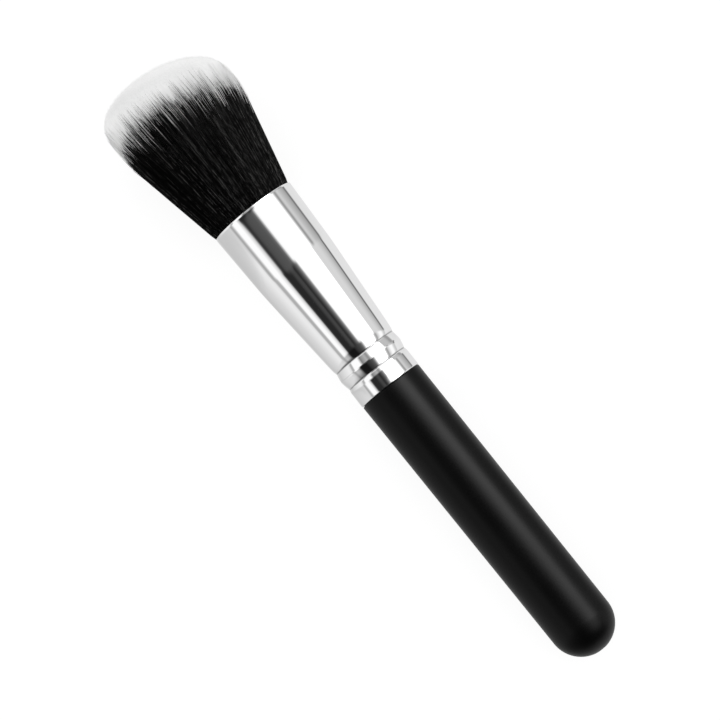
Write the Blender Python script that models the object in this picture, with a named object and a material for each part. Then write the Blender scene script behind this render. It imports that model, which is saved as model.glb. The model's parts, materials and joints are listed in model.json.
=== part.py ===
"""Domed duo-fibre makeup brush, lying on its side as it does on a dressing table.

Every piece is built in the brush's own frame: the axis is +X, the butt of the handle is at 0,
and the hair points to +X. The whole brush is then laid on the table, where the round butt and
the flared hair touch the surface, so the axis climbs a little towards the hair.
"""

import math

import bmesh
import bpy
from mathutils import Vector

MM = 0.001

# Fits that several pieces share
FIT_GAP = 0.3 * MM
CUT_OVERRUN = 2.0 * MM
FULL_TURN = 2 * math.pi
TURNED_SIDES = 48
ROOT_SIDES = 24

# Handle
HANDLE_LENGTH = 84.2 * MM
SHOULDER_RADIUS = 8.70 * MM
BUTT_RADIUS = 8.46 * MM
BUTT_FLAT_RADIUS = 1.5 * MM
SHOULDER_ROUND = 0.25 * MM
SHOULDER_ROUND_LENGTH = 1.2 * MM
TENON_LENGTH = 17.0 * MM
TENON_RADIUS = 8.15 * MM
TENON_CHAMFER = 1.0 * MM
DOME_STEPS = 9

# Ferrule, measured from its socket end, which sits on the handle's shoulder
FERRULE_LENGTH = 55.7 * MM
FERRULE_WALL = 0.35 * MM
SOCKET_RADIUS = 8.90 * MM
LOWER_CRIMP = 5.2 * MM
UPPER_CRIMP = 10.3 * MM
LOWER_CRIMP_RADIUS = 8.62 * MM
UPPER_CRIMP_RADIUS = 8.82 * MM
SOCKET_FLANK = 0.40 * MM
CONE_FLANK = 0.75 * MM
BAND_BULGE = 0.36 * MM
CONE_FOOT_RADIUS = 9.08 * MM
KINK = 38.0 * MM
KINK_RADIUS = 11.06 * MM
MOUTH_RADIUS = 11.80 * MM
KINK_BLEND = 1.6 * MM
LIP_LENGTH = 1.0 * MM
LIP_CURL = 0.20 * MM
BAND_STEPS = 8
FLANK_REACH_SHARES = (0.0, 0.45, 1.0, 2.0, 3.5)

# Root of the hair knot, measured down from the ferrule's mouth
ROOT_DEPTH = 13.0 * MM
ROOT_THICKNESS = 4.0 * MM
ROOT_RADIUS = 9.65 * MM
CORE_ROOT_RADIUS = 7.05 * MM

# Hair head, measured up from the ferrule's mouth
HAIR_LENGTH = 44.4 * MM
HEAD_RADIUS = 18.0 * MM
HEAD_EDGE = 31.5 * MM
HEAD_LEAN_SHARE = 0.015
HEAD_DEPTH_SHARE = 0.95
CROWN_SLANT_SHARE = 0.08
CROWN_ROUND_POWER = 2.5
CROWN_FALL_POWER = 0.5
TABLE_PRESS = 0.5 * MM

# White-tipped fibres, the longer core of the head
WHITE_STRANDS = 165
WHITE_MOUTH_RADIUS = 8.0 * MM
WHITE_SHOULDER = 27.0 * MM
WHITE_SHOULDER_RADIUS = 14.6 * MM
WHITE_CROWN_SHARE = 0.97
WHITE_ROOT_WIDTH = 0.27 * MM
WHITE_MOUTH_WIDTH = 0.33 * MM
WHITE_SHOULDER_WIDTH = 0.70 * MM
WHITE_TIP_STAGGER = 0.9 * MM

# Black hair, the shorter skirt round the core, with its inner and outer line
BLACK_STRANDS = 150
BLACK_MOUTH_RADII = (8.85 * MM, 10.65 * MM)
BLACK_NECK = 3.0 * MM
BLACK_NECK_RADII = (9.9 * MM, 12.0 * MM)
BLACK_BELLY = 18.5 * MM
BLACK_BELLY_RADII = (14.4 * MM, 15.9 * MM)
BLACK_TIP_SPREAD = 0.7 * MM
BLACK_LENGTH = 29.5 * MM
BLACK_INNER_EXTRA = 2.0 * MM
BLACK_SLANT_SHARE = 0.14
BLACK_ROOT_WIDTH = 0.24 * MM
BLACK_MOUTH_WIDTH = 0.30 * MM
BLACK_NECK_WIDTH = 0.34 * MM
BLACK_BELLY_WIDTH = 0.36 * MM
BLACK_TIP_STAGGER = 4.0 * MM

# Thread that binds the root of the knot
THREAD_WIDTH = 0.5 * MM
THREAD_PITCH = 1.0 * MM
THREAD_TURNS = 3
THREAD_POINTS_PER_TURN = 24

# Glue
GLUE_PLUG_THICKNESS = 5.5 * MM
GLUE_PLUG_DISH = 0.6 * MM
GLUE_BEAD_WIDTH = 1.1 * MM
GLUE_BEAD_HEIGHT = 1.5 * MM
GLUE_BEAD_SIDES = 8

# Where things stand on the axis, from the butt
FERRULE_START = HANDLE_LENGTH + FIT_GAP
MOUTH = FERRULE_START + FERRULE_LENGTH
ROOT_END = MOUTH - ROOT_DEPTH
ROOT_FACE = ROOT_END + ROOT_THICKNESS
TENON_END = HANDLE_LENGTH + TENON_LENGTH
DOME_CENTRE = math.sqrt(BUTT_RADIUS**2 - BUTT_FLAT_RADIUS**2)

GOLDEN_ANGLE = math.pi * (3 - math.sqrt(5))
GOLDEN_SHARE = (math.sqrt(5) - 1) / 2


def clear_scene():
    for old in list(bpy.data.objects):
        bpy.data.objects.remove(old)


def material(name, colour, roughness, metallic):
    made = bpy.data.materials.new(name)
    made.use_nodes = True
    shader = made.node_tree.nodes["Principled BSDF"]
    shader.inputs["Base Color"].default_value = (*colour, 1.0)
    shader.inputs["Roughness"].default_value = roughness
    shader.inputs["Metallic"].default_value = metallic
    return made


def object_from(bm, name, finish):
    """Names the mesh, shades it smooth except at real edges, and adds it to the scene."""
    bmesh.ops.recalc_face_normals(bm, faces=bm.faces)
    mesh = bpy.data.meshes.new(name)
    bm.to_mesh(mesh)
    bm.free()
    mesh.shade_smooth()
    mesh.set_sharp_from_angle(angle=math.radians(35))
    mesh.materials.append(finish)
    made = bpy.data.objects.new(name, mesh)
    bpy.context.scene.collection.objects.link(made)
    return made


def turned(name, outline, finish, closed=False, sides=TURNED_SIDES):
    """Spins an outline of (along the axis, radius) points about the brush's axis.

    An open outline starts and ends on the axis. A closed one makes a tube or a ring. Its
    first copy stands half a side round, so that a flat side of the polygon faces the table.
    """
    bm = bmesh.new()
    half_side = math.pi / sides
    points = []
    for along, radius in outline:
        place = (along, radius * math.cos(half_side), radius * math.sin(half_side))
        points.append(bm.verts.new(place))
    pairs = list(zip(points, points[1:]))
    if closed:
        pairs.append((points[-1], points[0]))
    edges = [bm.edges.new(pair) for pair in pairs]
    bmesh.ops.spin(
        bm,
        geom=points + edges,
        cent=(0, 0, 0),
        axis=(1, 0, 0),
        angle=FULL_TURN,
        steps=sides,
        use_merge=True,
    )
    bmesh.ops.remove_doubles(bm, verts=bm.verts, dist=FIT_GAP / 1000)
    return object_from(bm, name, finish)


def ferrule_radius(along):
    """Outer radius of the ferrule at a distance from its socket end.

    The socket and the cone dip towards each crimp along a flank that fades out, the band
    between the crimps is a shallow barrel, and the cone opens in two slopes with a soft kink.
    """
    if along <= LOWER_CRIMP:
        fade = math.exp(-(LOWER_CRIMP - along) / SOCKET_FLANK)
        return SOCKET_RADIUS - (SOCKET_RADIUS - LOWER_CRIMP_RADIUS) * fade
    if along <= UPPER_CRIMP:
        share = (along - LOWER_CRIMP) / (UPPER_CRIMP - LOWER_CRIMP)
        chord = LOWER_CRIMP_RADIUS + (UPPER_CRIMP_RADIUS - LOWER_CRIMP_RADIUS) * share
        return chord + BAND_BULGE * 4 * share * (1 - share)
    lower_slope = (KINK_RADIUS - CONE_FOOT_RADIUS) / (KINK - UPPER_CRIMP)
    upper_slope = (MOUTH_RADIUS - KINK_RADIUS) / (FERRULE_LENGTH - KINK)
    past_kink = KINK_BLEND * math.log1p(math.exp((along - KINK) / KINK_BLEND))
    cone = CONE_FOOT_RADIUS + lower_slope * (along - UPPER_CRIMP)
    cone += (upper_slope - lower_slope) * past_kink
    fade = math.exp(-(along - UPPER_CRIMP) / CONE_FLANK)
    cone -= (CONE_FOOT_RADIUS - UPPER_CRIMP_RADIUS) * fade
    into_lip = max(0.0, along - (FERRULE_LENGTH - LIP_LENGTH)) / LIP_LENGTH
    return cone - LIP_CURL * into_lip**2


def bore_radius(along):
    return ferrule_radius(along) - FERRULE_WALL


def ferrule_stations():
    """Distances from the socket end at which the ferrule's shape needs a point."""
    socket = [LOWER_CRIMP - SOCKET_FLANK * share for share in FLANK_REACH_SHARES]
    band_length = UPPER_CRIMP - LOWER_CRIMP
    band = [LOWER_CRIMP + band_length * i / BAND_STEPS for i in range(1, BAND_STEPS)]
    cone = [UPPER_CRIMP + CONE_FLANK * share for share in FLANK_REACH_SHARES]
    kink = [KINK - 2 * KINK_BLEND, KINK, KINK + 2 * KINK_BLEND]
    lip = [FERRULE_LENGTH - LIP_LENGTH, FERRULE_LENGTH - LIP_LENGTH / 2]
    return [0.0] + sorted(socket) + band + cone + kink + lip + [FERRULE_LENGTH]


def tenon_radius(along):
    """The tenon's radius, turned plain and pressed in where the crimps bite."""
    return min(TENON_RADIUS, bore_radius(along) - FIT_GAP)


def make_handle(finish):
    dome = []
    first = math.asin(BUTT_FLAT_RADIUS / BUTT_RADIUS)
    for i in range(DOME_STEPS + 1):
        turn = first + (math.pi / 2 - first) * i / DOME_STEPS
        reach = DOME_CENTRE - BUTT_RADIUS * math.cos(turn)
        dome.append((reach, BUTT_RADIUS * math.sin(turn)))
    shoulder = [
        (HANDLE_LENGTH - SHOULDER_ROUND_LENGTH, SHOULDER_RADIUS),
        (HANDLE_LENGTH - SHOULDER_ROUND_LENGTH / 3, SHOULDER_RADIUS - SHOULDER_ROUND / 3),
        (HANDLE_LENGTH, SHOULDER_RADIUS - SHOULDER_ROUND),
    ]
    chamfer_start = TENON_END - TENON_CHAMFER
    inside = [at for at in ferrule_stations() if FERRULE_START + at < chamfer_start]
    tenon = [(HANDLE_LENGTH, tenon_radius(0.0))]
    tenon += [(FERRULE_START + at, tenon_radius(at)) for at in inside]
    tenon.append((chamfer_start, TENON_RADIUS))
    tenon.append((TENON_END, TENON_RADIUS - TENON_CHAMFER))
    outline = [(0.0, 0.0)] + dome + shoulder + tenon + [(TENON_END, 0.0)]
    return turned("handle", outline, finish)


def make_ferrule(finish):
    stations = ferrule_stations()
    outside = [(FERRULE_START + at, ferrule_radius(at)) for at in stations]
    inside = [(FERRULE_START + at, bore_radius(at)) for at in reversed(stations)]
    return turned("ferrule", outside + inside, finish, closed=True)


def make_glue_plug(finish):
    """Disc of set glue under the knot, dished on its free side, against the ferrule's wall."""
    top = ROOT_END - FIT_GAP
    bottom = top - GLUE_PLUG_THICKNESS
    wall_top = bore_radius(top - FERRULE_START) - FIT_GAP
    wall_bottom = bore_radius(bottom - FERRULE_START) - FIT_GAP
    outline = [
        (bottom + GLUE_PLUG_DISH, 0.0),
        (bottom + GLUE_PLUG_DISH, wall_bottom / 2),
        (bottom, wall_bottom),
        (top, wall_top),
        (top, 0.0),
    ]
    return turned("hair_glue_plug", outline, finish)


def make_glue_bead(finish):
    """Ring of glue squeezed up round the end of the tenon."""
    centre_along = TENON_END + FIT_GAP + GLUE_BEAD_HEIGHT / 2
    wall = bore_radius(centre_along + GLUE_BEAD_HEIGHT / 2 - FERRULE_START) - FIT_GAP
    wall = min(wall, bore_radius(centre_along - GLUE_BEAD_HEIGHT / 2 - FERRULE_START) - FIT_GAP)
    centre_radius = wall - GLUE_BEAD_WIDTH / 2
    outline = []
    for i in range(GLUE_BEAD_SIDES):
        turn = FULL_TURN * i / GLUE_BEAD_SIDES
        along = centre_along + GLUE_BEAD_HEIGHT / 2 * math.cos(turn)
        outline.append((along, centre_radius + GLUE_BEAD_WIDTH / 2 * math.sin(turn)))
    return turned("tenon_glue_bead", outline, finish, closed=True)


def make_thread(finish):
    """Unbroken helix of thread round the knot's root, four turns side by side."""
    helix_radius = ROOT_RADIUS + FIT_GAP + THREAD_WIDTH / 2
    wound_length = THREAD_PITCH * THREAD_TURNS
    start = ROOT_END + (ROOT_THICKNESS - wound_length) / 2
    count = THREAD_TURNS * THREAD_POINTS_PER_TURN
    curve = bpy.data.curves.new("binding_thread", "CURVE")
    curve.dimensions = "3D"
    curve.bevel_depth = THREAD_WIDTH / 2
    curve.bevel_resolution = 1
    curve.use_fill_caps = True
    spline = curve.splines.new("POLY")
    spline.points.add(count)
    points = []
    for i in range(count + 1):
        turn = FULL_TURN * i / THREAD_POINTS_PER_TURN
        along = start + wound_length * i / count
        place = Vector((along, helix_radius * math.cos(turn), helix_radius * math.sin(turn)))
        points.append(place)
        spline.points[i].co = (*place, 1)
    next_turn = zip(points, points[THREAD_POINTS_PER_TURN:])
    least = min((after - before).length for before, after in next_turn) - THREAD_WIDTH
    print(f"binding_thread: least gap to itself {least / MM:.2f} mm")
    curve.materials.append(finish)
    made = bpy.data.objects.new("binding_thread", curve)
    bpy.context.scene.collection.objects.link(made)
    return made


def crown_height(share, sideways):
    """Height of the crown above the mouth.

    share runs from 0 on the axis to 1 at the outermost hair, and the dome falls away as
    (1 - share ** round power) ** fall power. The crown also rises towards +Y by a slant.
    """
    dome = (1 - min(share, 1.0) ** CROWN_ROUND_POWER) ** CROWN_FALL_POWER
    height = HEAD_EDGE + (HAIR_LENGTH - HEAD_EDGE) * dome
    return height + CROWN_SLANT_SHARE * sideways


def hair_place(above, radius, angle):
    """Point of the head at a height above the mouth, with the head's lean and its depth."""
    outside = max(above, 0.0)
    depth = 1 + (HEAD_DEPTH_SHARE - 1) * min(1.0, outside / HEAD_EDGE)
    sideways = radius * math.cos(angle) - HEAD_LEAN_SHARE * outside
    return Vector((MOUTH + above, sideways, depth * radius * math.sin(angle)))


def add_strand(bm, stations, tip, angle):
    """Three-sided strand through (centre, half width) stations, closed at its root and tip."""
    rings = []
    for centre, width in stations:
        corners = []
        for side in range(3):
            turn = angle + FULL_TURN * side / 3
            offset = Vector((0, width * math.cos(turn), width * math.sin(turn)))
            corners.append(bm.verts.new(centre + offset))
        rings.append(corners)
    point = bm.verts.new(tip)
    bm.faces.new(rings[0])
    for low, high in zip(rings, rings[1:]):
        for side in range(3):
            after = (side + 1) % 3
            bm.faces.new((low[side], low[after], high[after], high[side]))
    for side in range(3):
        bm.faces.new((rings[-1][side], rings[-1][(side + 1) % 3], point))


def stagger(index, amount):
    """Even spread of lengths that never repeats, from the golden ratio."""
    return amount * ((index * GOLDEN_SHARE) % 1.0 - 0.5)


def ring_radius(share, radii):
    """Radius that holds this share of the area between an inner and an outer circle."""
    inner, outer = radii
    return math.sqrt(inner**2 + (outer**2 - inner**2) * share)


def root_slice(name, inner, outer, finish):
    """Slice of the glued root, a disc or a ring, that the strands stand on."""
    if inner > 0:
        outline = [(ROOT_END, inner), (ROOT_FACE, inner), (ROOT_FACE, outer), (ROOT_END, outer)]
    else:
        outline = [(ROOT_END, 0.0), (ROOT_END, outer), (ROOT_FACE, outer), (ROOT_FACE, 0.0)]
    return helper(turned(name, outline, finish, closed=inner > 0, sides=ROOT_SIDES))


def helper(made):
    made.hide_render = True
    made.display_type = "WIRE"
    return made


def boolean(made, operation, other):
    step = made.modifiers.new(other.name, "BOOLEAN")
    step.operation = operation
    step.object = other


def make_white_fibres(finish):
    """Long fibres that fill the core of the knot and spread over the whole crown."""
    bm = bmesh.new()
    root_level = ROOT_THICKNESS / 2 - ROOT_DEPTH
    root_reach = CORE_ROOT_RADIUS - 2 * WHITE_ROOT_WIDTH
    for i in range(WHITE_STRANDS):
        angle = i * GOLDEN_ANGLE
        share = math.sqrt((i + 0.5) / WHITE_STRANDS)
        tip_radius = HEAD_RADIUS * WHITE_CROWN_SHARE * share
        length = crown_height(WHITE_CROWN_SHARE * share, tip_radius * math.cos(angle))
        length += stagger(i, WHITE_TIP_STAGGER)
        root = hair_place(root_level, root_reach * share, angle)
        mouth = hair_place(0.0, WHITE_MOUTH_RADIUS * share, angle)
        shoulder = hair_place(WHITE_SHOULDER, WHITE_SHOULDER_RADIUS * share, angle)
        stations = [
            (root, WHITE_ROOT_WIDTH),
            (mouth, WHITE_MOUTH_WIDTH),
            (shoulder, WHITE_SHOULDER_WIDTH),
        ]
        add_strand(bm, stations, hair_place(length, tip_radius, angle), angle)
    made = object_from(bm, "white_tip_fibres", finish)
    root = root_slice("white_root", 0.0, CORE_ROOT_RADIUS, finish)
    boolean(made, "UNION", root)
    return made, [root]


def make_black_hair(finish):
    """Shorter hair in a ring round the core, which ends where the crown turns white."""
    bm = bmesh.new()
    ring_inner = CORE_ROOT_RADIUS + FIT_GAP
    root_level = ROOT_THICKNESS / 2 - ROOT_DEPTH
    root_radii = (ring_inner + 1.5 * BLACK_ROOT_WIDTH, ROOT_RADIUS - 1.5 * BLACK_ROOT_WIDTH)
    edge_radii = (HEAD_RADIUS - BLACK_TIP_SPREAD, HEAD_RADIUS)
    for i in range(BLACK_STRANDS):
        angle = i * GOLDEN_ANGLE
        share = (i + 0.5) / BLACK_STRANDS
        belly_radius = ring_radius(share, BLACK_BELLY_RADII)
        edge_radius = ring_radius(share, edge_radii)
        length = BLACK_LENGTH + BLACK_INNER_EXTRA * (1 - share)
        length += BLACK_SLANT_SHARE * edge_radius * math.cos(angle)
        length += stagger(i, BLACK_TIP_STAGGER)
        reach = min(1.0, (length - BLACK_BELLY) / (HEAD_EDGE - BLACK_BELLY))
        tip_radius = belly_radius + (edge_radius - belly_radius) * reach
        root = hair_place(root_level, ring_radius(share, root_radii), angle)
        mouth = hair_place(0.0, ring_radius(share, BLACK_MOUTH_RADII), angle)
        neck = hair_place(BLACK_NECK, ring_radius(share, BLACK_NECK_RADII), angle)
        belly = hair_place(BLACK_BELLY, belly_radius, angle)
        stations = [
            (root, BLACK_ROOT_WIDTH),
            (mouth, BLACK_MOUTH_WIDTH),
            (neck, BLACK_NECK_WIDTH),
            (belly, BLACK_BELLY_WIDTH),
        ]
        add_strand(bm, stations, hair_place(length, tip_radius, angle), angle)
    made = object_from(bm, "black_hair", finish)
    root = root_slice("black_root", ring_inner, ROOT_RADIUS, finish)
    boolean(made, "UNION", root)
    return made, [root]


def world_points(objects):
    """Every corner of the objects as they are evaluated, in the world."""
    bpy.context.view_layer.update()
    graph = bpy.context.evaluated_depsgraph_get()
    points = []
    for each in objects:
        evaluated = each.evaluated_get(graph)
        mesh = evaluated.to_mesh()
        points += [evaluated.matrix_world @ vertex.co for vertex in mesh.vertices]
        evaluated.to_mesh_clear()
    return points


def resting_tilt(points):
    """Climb of the axis that puts the round butt on the table and these points on it or above.

    The lowest of them, which are hair, may go below the table by what it presses flat.
    """
    tilt = 0.0
    for point in points:
        ahead = point.x - DOME_CENTRE
        below = -point.z - TABLE_PRESS
        if ahead > BUTT_RADIUS and below > 0:
            tangent = math.asin(BUTT_RADIUS / math.hypot(ahead, below))
            tilt = max(tilt, math.atan2(below, ahead) - tangent)
    return tilt


def make_table_cutter(hair):
    """Block whose upper face is the table, to press the lowest hair flat."""
    corners = world_points([hair])
    lows = [min(corner[side] for corner in corners) - CUT_OVERRUN for side in range(3)]
    highs = [max(corner[side] for corner in corners) + CUT_OVERRUN for side in range(2)]
    bm = bmesh.new()
    bmesh.ops.create_cube(bm, size=1.0)
    for vertex in bm.verts:
        for side, high in enumerate([*highs, 0.0]):
            vertex.co[side] = high if vertex.co[side] > 0 else lows[side]
    return helper(object_from(bm, "table_cutter", hair.data.materials[0]))


def lay_on_table(pieces, helpers, hair):
    """Tilts the brush to its rest, with the origin on the table under the middle of its box."""
    axis = bpy.data.objects.new("brush_axis", None)
    bpy.context.scene.collection.objects.link(axis)
    for piece in pieces + helpers:
        piece.parent = axis
    axis.rotation_euler = (0, -resting_tilt(world_points([hair])), 0)
    corners = world_points(pieces)
    for side in range(2):
        values = [corner[side] for corner in corners]
        axis.location[side] = -(min(values) + max(values)) / 2
    hard = [piece for piece in pieces if piece is not hair]
    axis.location.z = -min(corner.z for corner in world_points(hard))
    boolean(hair, "DIFFERENCE", make_table_cutter(hair))


def main():
    clear_scene()
    lacquer = material("black lacquer", (0.012, 0.012, 0.012), 0.42, 0.0)
    chrome = material("polished chrome", (0.86, 0.86, 0.87), 0.06, 1.0)
    black = material("black fibre", (0.010, 0.010, 0.010), 0.45, 0.0)
    white = material("white fibre", (0.86, 0.86, 0.85), 0.50, 0.0)
    thread = material("binding thread", (0.55, 0.50, 0.42), 0.80, 0.0)
    glue = material("set glue", (0.62, 0.52, 0.32), 0.30, 0.0)
    black_hair, black_helpers = make_black_hair(black)
    white_fibres, white_helpers = make_white_fibres(white)
    pieces = [
        make_handle(lacquer),
        make_ferrule(chrome),
        make_glue_bead(glue),
        make_glue_plug(glue),
        make_thread(thread),
        black_hair,
        white_fibres,
    ]
    lay_on_table(pieces, black_helpers + white_helpers, black_hair)


main()
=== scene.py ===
"""Domed duo-fibre makeup brush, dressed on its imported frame.

The brush lies on a white table with its head up and to the left, seen from almost straight above.
Every piece is worked out in the brush's own frame, in metres: x runs along the axis from the butt
of the handle, y to the side where the crown is longer, z up from the table side, and placed()
takes it to the world.
"""

import json
import math

import bpy
import numpy as np
from mathutils import Matrix, Vector


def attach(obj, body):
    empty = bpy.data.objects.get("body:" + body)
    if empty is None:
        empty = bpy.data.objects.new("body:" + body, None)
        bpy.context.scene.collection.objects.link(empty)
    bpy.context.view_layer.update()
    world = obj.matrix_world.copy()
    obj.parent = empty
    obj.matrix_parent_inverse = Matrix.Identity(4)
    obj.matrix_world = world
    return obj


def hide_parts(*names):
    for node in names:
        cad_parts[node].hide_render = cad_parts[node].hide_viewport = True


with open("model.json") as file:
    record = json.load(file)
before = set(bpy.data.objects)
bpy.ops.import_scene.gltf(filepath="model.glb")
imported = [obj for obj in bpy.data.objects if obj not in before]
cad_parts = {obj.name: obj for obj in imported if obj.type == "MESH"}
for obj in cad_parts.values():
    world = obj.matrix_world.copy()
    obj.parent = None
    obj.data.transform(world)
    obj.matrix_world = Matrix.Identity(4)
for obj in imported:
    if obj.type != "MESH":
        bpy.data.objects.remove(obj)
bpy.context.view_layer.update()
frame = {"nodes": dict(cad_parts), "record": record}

MM = 0.001
DEG = math.pi / 180
IN_DEGREES = 180 / math.pi
FULL_TURN = 2 * math.pi
QUARTER_TURN = math.pi / 2
TINY = 1e-12

# The brush's own frame, from the mount at the pole of the butt
BUTT_MOUNT = frame["record"]["mounts"][0]
BUTT = np.array(BUTT_MOUNT["pos_m"])
AXIS = -np.array(BUTT_MOUNT["axis"]) / np.linalg.norm(BUTT_MOUNT["axis"])
SIDE = np.array([0.0, 1.0, 0.0])
UP = np.cross(AXIS, SIDE)


def placed(points):
    """World place of points in the brush's frame: butt + x axis + y side + z up."""
    return BUTT + points @ np.array([AXIS, SIDE, UP])


def reach(node):
    """Lowest and highest distance of a CAD node's points along the brush's axis, from the butt."""
    mesh = frame["nodes"][node].data
    flat = np.empty(len(mesh.vertices) * 3, np.float32)
    mesh.vertices.foreach_get("co", flat)
    along = (flat.reshape(-1, 3) - BUTT) @ AXIS
    return float(along.min()), float(along.max())


FERRULE_START, MOUTH = reach("ferrule")
TENON_END = reach("handle")[1]

# Handle
BUTT_RADIUS = 8.57 * MM
BUTT_FLAT_RADIUS = 1.5 * MM
SHOULDER_RADIUS = 8.82 * MM
SHOULDER_ROUND = 0.14 * MM
SHOULDER_ROUND_LENGTH = 0.4 * MM
SHOULDER_GAP = 0.3 * MM
TENON_RADIUS = 8.0 * MM
HANDLE_SIDES = 192
DOME_STATIONS = 60
BODY_STATIONS = 60
SHOULDER_STATIONS = 12

# Ferrule
FERRULE_LENGTH = MOUTH - FERRULE_START
FERRULE_WALL = 0.35 * MM
SOCKET_RADIUS = 8.90 * MM
SOCKET_OPENING = 0.0075
LOWER_CRIMP = 5.2 * MM
UPPER_CRIMP = 10.3 * MM
LOWER_CRIMP_RADIUS = 8.66 * MM
UPPER_CRIMP_RADIUS = 8.87 * MM
SOCKET_FLANK = 0.40 * MM
CONE_FLANK = 0.75 * MM
BAND_BULGE = 0.43 * MM
BAND_POWER = 1.5
CONE_FOOT_RADIUS = 9.13 * MM
KINK = 38.0 * MM
KINK_RADIUS = 11.17 * MM
KINK_BLEND = 1.0 * MM
MOUTH_RADIUS = 11.80 * MM
LIP_LENGTH = 0.6 * MM
LIP_CURL = 0.13 * MM
CREASE_WIDTH = 0.17 * MM
CREASE_DEPTH = 0.03 * MM
MOUTH_OVERRUN = 0.08 * MM
SOCKET_OVERRUN = 0.17 * MM
END_STRETCH = 2.0 * MM
FERRULE_LEAN = 0.0095
FERRULE_SIDES = 256
CRIMPED_LENGTH = UPPER_CRIMP + 4 * CONE_FLANK
CRIMPED_STATIONS = 240
CONE_STATIONS = 60
LIP_STATIONS = 14
RIM_STATIONS = 7
BORE_STEP = 6

# Hair head, measured up from the ferrule's mouth
CROWN_HEIGHT = 44.9 * MM
CROWN_EDGE = 32.3 * MM
CROWN_POWER = 0.33
CROWN_SLANT = 0.109
CROWN_SHIFT = 0.50 * MM
CROWN_SHIFT_ENDS = (24 * MM, 40 * MM)
HEAD_LEAN = 0.013
HEAD_DEPTH = 0.95
HEAD_RADIUS = 17.68 * MM
HEAD_SHIFT = 0.20 * MM
BORE = 11.05 * MM
SPILL = 0.4 * MM
SPILL_HEIGHT = 0.3 * MM
FLARE = 0.218
ROUND_OVER = 0.4 * MM
HAIR_START = -3.0 * MM
TABLE_CLEARANCE = 0.12 * MM
PRESS = 0.12 * MM

# Camera, from the photograph's frame
PIXEL = 0.25115 * MM
VIEW_DISTANCE_PIXELS = 3000
VIEW_TILT = 3.0 * DEG
HEAD_HEADING = (-0.62649, 0.77943)
CENTRE_ALONG_PIXELS = 374.9
CENTRE_ASIDE_PIXELS = -7.6
PHOTO_PIXELS = 720
SENSOR_WIDTH = 36.0
CLIP_START = 0.01
CLIP_END = 20.0


# Meshes from arrays


def new_object(name, data):
    """A new object in the scene."""
    made = bpy.data.objects.new(name, data)
    bpy.context.scene.collection.objects.link(made)
    return made


def mesh_object(name, points, quads, triangles=None, attributes=None):
    """Mesh in the world from points (n, 3) in the brush's frame and faces as arrays of indices."""
    triangles = np.empty((0, 3), int) if triangles is None else triangles
    mesh = bpy.data.meshes.new(name)
    mesh.vertices.add(len(points))
    mesh.vertices.foreach_set("co", placed(points).astype(np.float32).ravel())
    corners = np.concatenate([quads.ravel(), triangles.ravel()]).astype(np.int32)
    quad_starts = 4 * np.arange(len(quads))
    triangle_starts = 4 * len(quads) + 3 * np.arange(len(triangles))
    mesh.loops.add(len(corners))
    mesh.loops.foreach_set("vertex_index", corners)
    mesh.polygons.add(len(quads) + len(triangles))
    starts = np.concatenate([quad_starts, triangle_starts]).astype(np.int32)
    mesh.polygons.foreach_set("loop_start", starts)
    mesh.update(calc_edges=True)
    for key, values in (attributes or {}).items():
        layer = mesh.attributes.new(key, "FLOAT", "POINT")
        layer.data.foreach_set("value", values.astype(np.float32).ravel())
    mesh.shade_smooth()
    return new_object(name, mesh)


def leaned(points):
    """Ferrule and hair sit a little askew on the tenon, turned by a small angle about its foot:
    x + lean y and y - lean (x - foot)."""
    past = np.maximum(points[..., 0] - FERRULE_START, 0)
    along = points[..., 0] + FERRULE_LEAN * points[..., 1]
    return np.stack([along, points[..., 1] - FERRULE_LEAN * past, points[..., 2]], axis=-1)


def ring_quads(low, high):
    """Outward quads from rings of point numbers to the rings that follow them."""
    quads = np.stack([np.roll(low, -1, axis=1), np.roll(high, -1, axis=1), high, low], axis=-1)
    return quads.reshape(-1, 4)


def capped_tube(name, points, poles, attributes=None):
    """Rings of points (rings, sides, 3), closed at each end by a fan round that end's pole."""
    rings, sides = points.shape[:2]
    index = np.arange(rings * sides).reshape(rings, sides)
    quads = ring_quads(index[:-1], index[1:])
    first, last = rings * sides, rings * sides + 1
    foot, top = index[0], index[-1]
    bottom_fan = np.stack([np.full(sides, first), foot, np.roll(foot, -1)], axis=-1)
    top_fan = np.stack([np.full(sides, last), np.roll(top, -1), top], axis=-1)
    triangles = np.concatenate([bottom_fan, top_fan])[:, ::-1]
    points = np.concatenate([points.reshape(-1, 3), poles])
    return mesh_object(name, points, quads, triangles, attributes)


def turned(along, radii, sides):
    """Rings (x, r cos u, r sin u) for each station of a profile and angle u."""
    turn = FULL_TURN * np.arange(sides) / sides
    points = np.empty((len(along), sides, 3))
    points[..., 0] = along[:, None]
    points[..., 1] = radii[:, None] * np.cos(turn)
    points[..., 2] = radii[:, None] * np.sin(turn)
    return points


def turned_tube(name, along, radii, sides, stations):
    """Turned tube whose profile runs out along the outside and back along the bore."""
    index = np.arange(len(along) * sides).reshape(len(along), sides)
    quads = ring_quads(index, np.roll(index, -1, axis=0))
    attributes = {key: np.repeat(values, sides) for key, values in stations.items()}
    points = leaned(turned(along, radii, sides).reshape(-1, 3))
    return mesh_object(name, points, quads, attributes=attributes)


def smooth(value, low, high):
    """Eases from 0 at low to 1 at high as s s (3 - 2 s)."""
    share = np.clip((value - low) / (high - low), 0, 1)
    return share * share * (3 - 2 * share)


# Handle


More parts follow.
